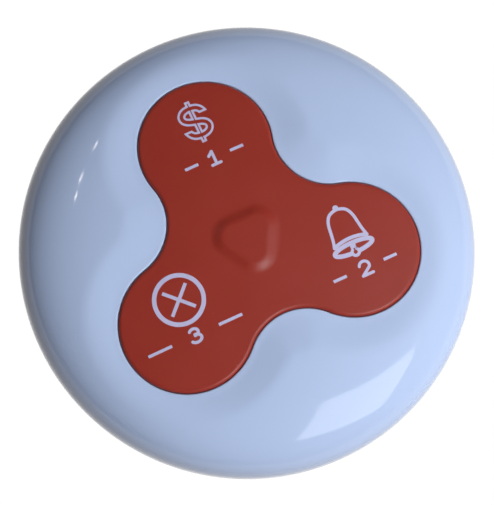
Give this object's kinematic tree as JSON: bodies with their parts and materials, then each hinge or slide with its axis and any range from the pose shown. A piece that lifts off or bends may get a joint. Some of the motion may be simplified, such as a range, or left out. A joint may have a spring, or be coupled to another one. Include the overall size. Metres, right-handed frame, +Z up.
{
  "type": "waiter call button",
  "caption": "Round domed table call button with a soft trilobe key pad that tilts onto switches, and a turn-lock coin cell door underneath.",
  "frame": {"origin": "middle of the underside, on the surface that the feet stand on", "axes": "+Z up out of the key pad, +Y from the middle to the first key, the one with the money sign"},
  "size_m": [0.0786, 0.0786, 0.0233],
  "materials": {
    "white_gloss": "glossy moulded ABS",
    "white_satin": "satin moulded ABS",
    "black_rubber": "matt rubber",
    "screw_steel": "zinc-plated steel",
    "red_silicone": "soft satin silicone with pale printed signs",
    "grey_plastic": "matt moulded plastic",
    "board_green": "green solder mask",
    "black_plastic": "matt moulded plastic",
    "plate_steel": "pressed steel",
    "cell_steel": "nickel-plated steel",
    "contact_gold": "plated spring bronze",
    "tan_ceramic": "ceramic chip capacitors",
    "black_ceramic": "chip resistors",
    "copper_wire": "enamelled copper wire"
  },
  "bodies": {
    "housing": {"top_cover": "white_gloss", "base_shell": "white_satin", "rubber_feet": "black_rubber", "case_screws": "screw_steel", "pad_hub": "red_silicone", "key_frame": "grey_plastic", "frame_screws": "screw_steel", "circuit_board": "board_green", "board_screws": "screw_steel", "bill_switch": "black_plastic", "call_switch": "black_plastic", "cancel_switch": "black_plastic", "switch_plates": "plate_steel", "coin_cell": "cell_steel", "cell_plus_contact": "contact_gold", "cell_minus_contact": "contact_gold", "encoder_chip": "black_plastic", "saw_resonator": "plate_steel", "rf_transistor": "black_plastic", "capacitors": "tan_ceramic", "resistors": "black_ceramic", "loop_antenna": "copper_wire"},
    "bill_key": {"bill_key": "red_silicone"},
    "call_key": {"call_key": "red_silicone"},
    "cancel_key": {"cancel_key": "red_silicone"},
    "bill_plunger": {"bill_plunger": "black_plastic"},
    "call_plunger": {"call_plunger": "black_plastic"},
    "cancel_plunger": {"cancel_plunger": "black_plastic"},
    "battery_door": {"battery_door": "white_satin", "door_seal": "black_rubber"}
  },
  "joints": [
    {"name": "bill_key_tilt", "type": "hinge", "parent": "housing", "child": "bill_key", "pos_m": [0, 0.0072, 0.0211], "axis": [-1, 0, 0], "range_deg": [0, 3], "stiffness_Nm_per_rad": 0.15},
    {"name": "call_key_tilt", "type": "hinge", "parent": "housing", "child": "call_key", "pos_m": [0.00624, -0.0036, 0.0211], "axis": [0.5, 0.866, 0], "range_deg": [0, 3], "stiffness_Nm_per_rad": 0.15},
    {"name": "cancel_key_tilt", "type": "hinge", "parent": "housing", "child": "cancel_key", "pos_m": [-0.00624, -0.0036, 0.0211], "axis": [0.5, -0.866, 0], "range_deg": [0, 3], "stiffness_Nm_per_rad": 0.15},
    {"name": "bill_plunger_slide", "type": "slide", "parent": "housing", "child": "bill_plunger", "axis": [0, 0, -1], "range_m": [0, 0.00054]},
    {"name": "call_plunger_slide", "type": "slide", "parent": "housing", "child": "call_plunger", "axis": [0, 0, -1], "range_m": [0, 0.00054]},
    {"name": "cancel_plunger_slide", "type": "slide", "parent": "housing", "child": "cancel_plunger", "axis": [0, 0, -1], "range_m": [0, 0.00054]},
    {"name": "battery_door_turn", "type": "hinge", "parent": "housing", "child": "battery_door", "pos_m": [0, 0, 0.002], "axis": [0, 0, -1], "range_deg": [0, 40]}
  ],
  "couplings": [
    {"joint": "bill_plunger_slide", "follows": "bill_key_tilt", "m_per_rad": 0.0102},
    {"joint": "call_plunger_slide", "follows": "call_key_tilt", "m_per_rad": 0.0102},
    {"joint": "cancel_plunger_slide", "follows": "cancel_key_tilt", "m_per_rad": 0.0102}
  ]
}
